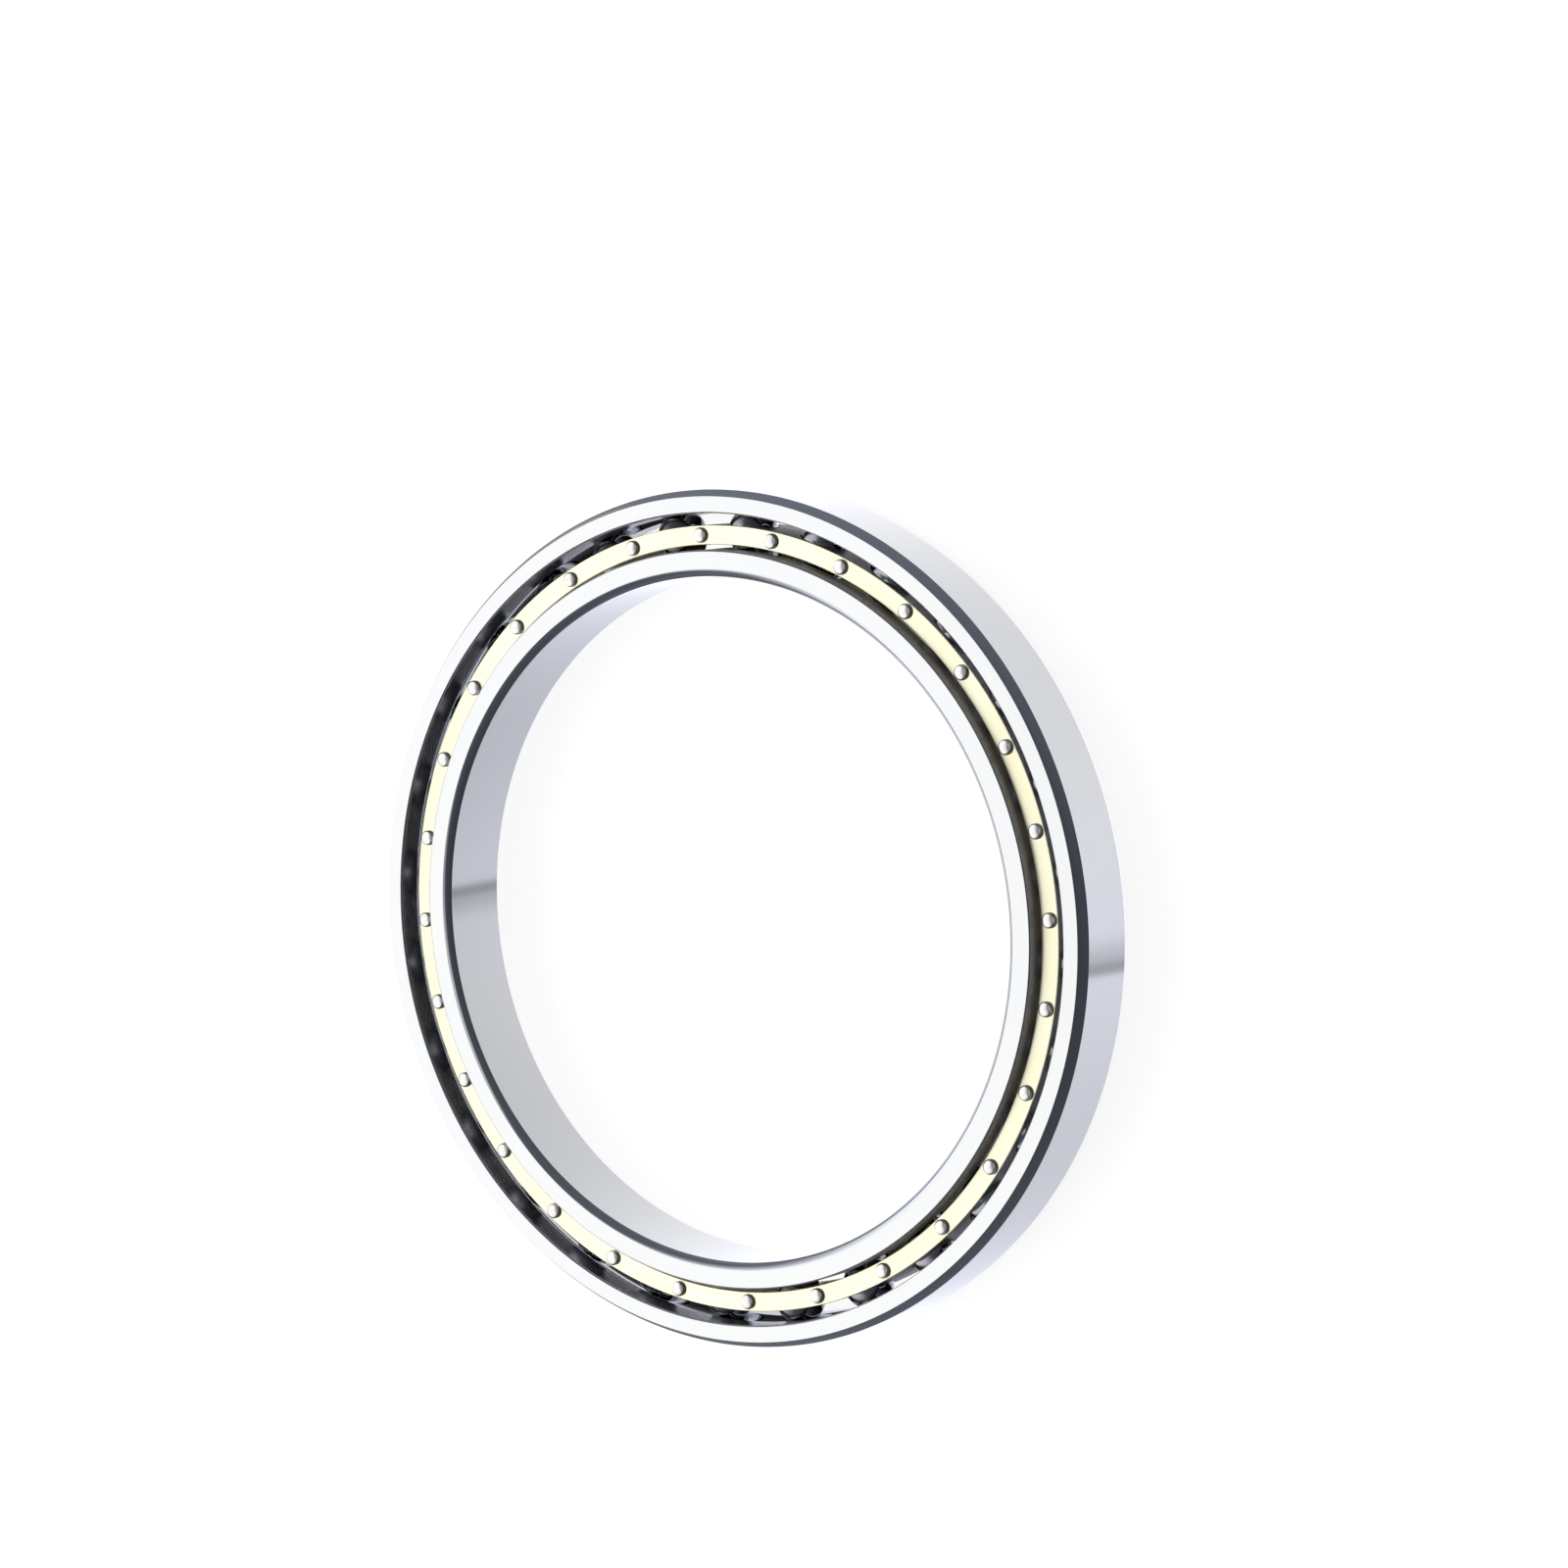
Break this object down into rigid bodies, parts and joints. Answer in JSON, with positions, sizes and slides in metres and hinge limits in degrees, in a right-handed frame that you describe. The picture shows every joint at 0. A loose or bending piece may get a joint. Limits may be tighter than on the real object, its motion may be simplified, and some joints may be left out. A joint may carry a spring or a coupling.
{
  "type": "thin-section ball bearing",
  "caption": "Open thin-section deep-groove ball bearing with a riveted two-piece machined brass cage; carries a large hollow shaft in a shallow housing.",
  "frame": {"origin": "on the bearing's axis, in the plane of the lower side faces that it rests on", "axes": "+Z is the bearing's axis, pointing up as it lies flat; +X runs through the first ball"},
  "size_m": [0.2, 0.2, 0.02],
  "materials": {
    "ring_steel": "hardened bearing steel, fine ground on the faces, bore and outside",
    "ball_steel": "hardened bearing steel, lapped to a mirror",
    "cage_brass": "turned and milled brass, satin",
    "rivet_steel": "bright drawn steel, round heads"
  },
  "bodies": {
    "outer_ring": {"outer_ring": "ring_steel"},
    "inner_ring": {"inner_ring": "ring_steel"},
    "cage": {"cage_upper_half": "cage_brass", "cage_lower_half": "cage_brass", "rivet_01": "rivet_steel", "rivet_02": "rivet_steel", "rivet_03": "rivet_steel", "rivet_04": "rivet_steel", "rivet_05": "rivet_steel", "rivet_06": "rivet_steel", "rivet_07": "rivet_steel", "rivet_08": "rivet_steel", "rivet_09": "rivet_steel", "rivet_10": "rivet_steel", "rivet_11": "rivet_steel", "rivet_12": "rivet_steel", "rivet_13": "rivet_steel", "rivet_14": "rivet_steel", "rivet_15": "rivet_steel", "rivet_16": "rivet_steel", "rivet_17": "rivet_steel", "rivet_18": "rivet_steel", "rivet_19": "rivet_steel", "rivet_20": "rivet_steel", "rivet_21": "rivet_steel", "rivet_22": "rivet_steel", "rivet_23": "rivet_steel", "rivet_24": "rivet_steel", "rivet_25": "rivet_steel", "rivet_26": "rivet_steel", "rivet_27": "rivet_steel", "rivet_28": "rivet_steel"},
    "ball_01": {"ball_01": "ball_steel"},
    "ball_02": {"ball_02": "ball_steel"},
    "ball_03": {"ball_03": "ball_steel"},
    "ball_04": {"ball_04": "ball_steel"},
    "ball_05": {"ball_05": "ball_steel"},
    "ball_06": {"ball_06": "ball_steel"},
    "ball_07": {"ball_07": "ball_steel"},
    "ball_08": {"ball_08": "ball_steel"},
    "ball_09": {"ball_09": "ball_steel"},
    "ball_10": {"ball_10": "ball_steel"},
    "ball_11": {"ball_11": "ball_steel"},
    "ball_12": {"ball_12": "ball_steel"},
    "ball_13": {"ball_13": "ball_steel"},
    "ball_14": {"ball_14": "ball_steel"},
    "ball_15": {"ball_15": "ball_steel"},
    "ball_16": {"ball_16": "ball_steel"},
    "ball_17": {"ball_17": "ball_steel"},
    "ball_18": {"ball_18": "ball_steel"},
    "ball_19": {"ball_19": "ball_steel"},
    "ball_20": {"ball_20": "ball_steel"},
    "ball_21": {"ball_21": "ball_steel"},
    "ball_22": {"ball_22": "ball_steel"},
    "ball_23": {"ball_23": "ball_steel"},
    "ball_24": {"ball_24": "ball_steel"},
    "ball_25": {"ball_25": "ball_steel"},
    "ball_26": {"ball_26": "ball_steel"},
    "ball_27": {"ball_27": "ball_steel"},
    "ball_28": {"ball_28": "ball_steel"}
  },
  "joints": [
    {"name": "inner_ring_spin", "type": "hinge", "parent": "outer_ring", "child": "inner_ring", "pos_m": [0, 0, 0.01], "axis": [0, 0, 1], "continuous": true},
    {"name": "cage_spin", "type": "hinge", "parent": "outer_ring", "child": "cage", "pos_m": [0, 0, 0.01], "axis": [0, 0, 1], "continuous": true},
    {"name": "ball_01_spin", "type": "hinge", "parent": "cage", "child": "ball_01", "pos_m": [0.09, 0, 0.01], "axis": [0, 0, 1], "continuous": true},
    {"name": "ball_02_spin", "type": "hinge", "parent": "cage", "child": "ball_02", "pos_m": [0.08774, 0.02003, 0.01], "axis": [0, 0, 1], "continuous": true},
    {"name": "ball_03_spin", "type": "hinge", "parent": "cage", "child": "ball_03", "pos_m": [0.08109, 0.03905, 0.01], "axis": [0, 0, 1], "continuous": true},
    {"name": "ball_04_spin", "type": "hinge", "parent": "cage", "child": "ball_04", "pos_m": [0.07036, 0.05611, 0.01], "axis": [0, 0, 1], "continuous": true},
    {"name": "ball_05_spin", "type": "hinge", "parent": "cage", "child": "ball_05", "pos_m": [0.05611, 0.07036, 0.01], "axis": [0, 0, 1], "continuous": true},
    {"name": "ball_06_spin", "type": "hinge", "parent": "cage", "child": "ball_06", "pos_m": [0.03905, 0.08109, 0.01], "axis": [0, 0, 1], "continuous": true},
    {"name": "ball_07_spin", "type": "hinge", "parent": "cage", "child": "ball_07", "pos_m": [0.02003, 0.08774, 0.01], "axis": [0, 0, 1], "continuous": true},
    {"name": "ball_08_spin", "type": "hinge", "parent": "cage", "child": "ball_08", "pos_m": [0, 0.09, 0.01], "axis": [0, 0, 1], "continuous": true},
    {"name": "ball_09_spin", "type": "hinge", "parent": "cage", "child": "ball_09", "pos_m": [-0.02003, 0.08774, 0.01], "axis": [0, 0, 1], "continuous": true},
    {"name": "ball_10_spin", "type": "hinge", "parent": "cage", "child": "ball_10", "pos_m": [-0.03905, 0.08109, 0.01], "axis": [0, 0, 1], "continuous": true},
    {"name": "ball_11_spin", "type": "hinge", "parent": "cage", "child": "ball_11", "pos_m": [-0.05611, 0.07036, 0.01], "axis": [0, 0, 1], "continuous": true},
    {"name": "ball_12_spin", "type": "hinge", "parent": "cage", "child": "ball_12", "pos_m": [-0.07036, 0.05611, 0.01], "axis": [0, 0, 1], "continuous": true},
    {"name": "ball_13_spin", "type": "hinge", "parent": "cage", "child": "ball_13", "pos_m": [-0.08109, 0.03905, 0.01], "axis": [0, 0, 1], "continuous": true},
    {"name": "ball_14_spin", "type": "hinge", "parent": "cage", "child": "ball_14", "pos_m": [-0.08774, 0.02003, 0.01], "axis": [0, 0, 1], "continuous": true},
    {"name": "ball_15_spin", "type": "hinge", "parent": "cage", "child": "ball_15", "pos_m": [-0.09, 0, 0.01], "axis": [0, 0, 1], "continuous": true},
    {"name": "ball_16_spin", "type": "hinge", "parent": "cage", "child": "ball_16", "pos_m": [-0.08774, -0.02003, 0.01], "axis": [0, 0, 1], "continuous": true},
    {"name": "ball_17_spin", "type": "hinge", "parent": "cage", "child": "ball_17", "pos_m": [-0.08109, -0.03905, 0.01], "axis": [0, 0, 1], "continuous": true},
    {"name": "ball_18_spin", "type": "hinge", "parent": "cage", "child": "ball_18", "pos_m": [-0.07036, -0.05611, 0.01], "axis": [0, 0, 1], "continuous": true},
    {"name": "ball_19_spin", "type": "hinge", "parent": "cage", "child": "ball_19", "pos_m": [-0.05611, -0.07036, 0.01], "axis": [0, 0, 1], "continuous": true},
    {"name": "ball_20_spin", "type": "hinge", "parent": "cage", "child": "ball_20", "pos_m": [-0.03905, -0.08109, 0.01], "axis": [0, 0, 1], "continuous": true},
    {"name": "ball_21_spin", "type": "hinge", "parent": "cage", "child": "ball_21", "pos_m": [-0.02003, -0.08774, 0.01], "axis": [0, 0, 1], "continuous": true},
    {"name": "ball_22_spin", "type": "hinge", "parent": "cage", "child": "ball_22", "pos_m": [0, -0.09, 0.01], "axis": [0, 0, 1], "continuous": true},
    {"name": "ball_23_spin", "type": "hinge", "parent": "cage", "child": "ball_23", "pos_m": [0.02003, -0.08774, 0.01], "axis": [0, 0, 1], "continuous": true},
    {"name": "ball_24_spin", "type": "hinge", "parent": "cage", "child": "ball_24", "pos_m": [0.03905, -0.08109, 0.01], "axis": [0, 0, 1], "continuous": true},
    {"name": "ball_25_spin", "type": "hinge", "parent": "cage", "child": "ball_25", "pos_m": [0.05611, -0.07036, 0.01], "axis": [0, 0, 1], "continuous": true},
    {"name": "ball_26_spin", "type": "hinge", "parent": "cage", "child": "ball_26", "pos_m": [0.07036, -0.05611, 0.01], "axis": [0, 0, 1], "continuous": true},
    {"name": "ball_27_spin", "type": "hinge", "parent": "cage", "child": "ball_27", "pos_m": [0.08109, -0.03905, 0.01], "axis": [0, 0, 1], "continuous": true},
    {"name": "ball_28_spin", "type": "hinge", "parent": "cage", "child": "ball_28", "pos_m": [0.08774, -0.02003, 0.01], "axis": [0, 0, 1], "continuous": true}
  ],
  "couplings": [
    {"joint": "cage_spin", "follows": "inner_ring_spin", "ratio": 0.46694},
    {"joint": "ball_01_spin", "follows": "inner_ring_spin", "ratio": -7.53},
    {"joint": "ball_02_spin", "follows": "inner_ring_spin", "ratio": -7.53},
    {"joint": "ball_03_spin", "follows": "inner_ring_spin", "ratio": -7.53},
    {"joint": "ball_04_spin", "follows": "inner_ring_spin", "ratio": -7.53},
    {"joint": "ball_05_spin", "follows": "inner_ring_spin", "ratio": -7.53},
    {"joint": "ball_06_spin", "follows": "inner_ring_spin", "ratio": -7.53},
    {"joint": "ball_07_spin", "follows": "inner_ring_spin", "ratio": -7.53},
    {"joint": "ball_08_spin", "follows": "inner_ring_spin", "ratio": -7.53},
    {"joint": "ball_09_spin", "follows": "inner_ring_spin", "ratio": -7.53},
    {"joint": "ball_10_spin", "follows": "inner_ring_spin", "ratio": -7.53},
    {"joint": "ball_11_spin", "follows": "inner_ring_spin", "ratio": -7.53},
    {"joint": "ball_12_spin", "follows": "inner_ring_spin", "ratio": -7.53},
    {"joint": "ball_13_spin", "follows": "inner_ring_spin", "ratio": -7.53},
    {"joint": "ball_14_spin", "follows": "inner_ring_spin", "ratio": -7.53},
    {"joint": "ball_15_spin", "follows": "inner_ring_spin", "ratio": -7.53},
    {"joint": "ball_16_spin", "follows": "inner_ring_spin", "ratio": -7.53},
    {"joint": "ball_17_spin", "follows": "inner_ring_spin", "ratio": -7.53},
    {"joint": "ball_18_spin", "follows": "inner_ring_spin", "ratio": -7.53},
    {"joint": "ball_19_spin", "follows": "inner_ring_spin", "ratio": -7.53},
    {"joint": "ball_20_spin", "follows": "inner_ring_spin", "ratio": -7.53},
    {"joint": "ball_21_spin", "follows": "inner_ring_spin", "ratio": -7.53},
    {"joint": "ball_22_spin", "follows": "inner_ring_spin", "ratio": -7.53},
    {"joint": "ball_23_spin", "follows": "inner_ring_spin", "ratio": -7.53},
    {"joint": "ball_24_spin", "follows": "inner_ring_spin", "ratio": -7.53},
    {"joint": "ball_25_spin", "follows": "inner_ring_spin", "ratio": -7.53},
    {"joint": "ball_26_spin", "follows": "inner_ring_spin", "ratio": -7.53},
    {"joint": "ball_27_spin", "follows": "inner_ring_spin", "ratio": -7.53},
    {"joint": "ball_28_spin", "follows": "inner_ring_spin", "ratio": -7.53}
  ]
}
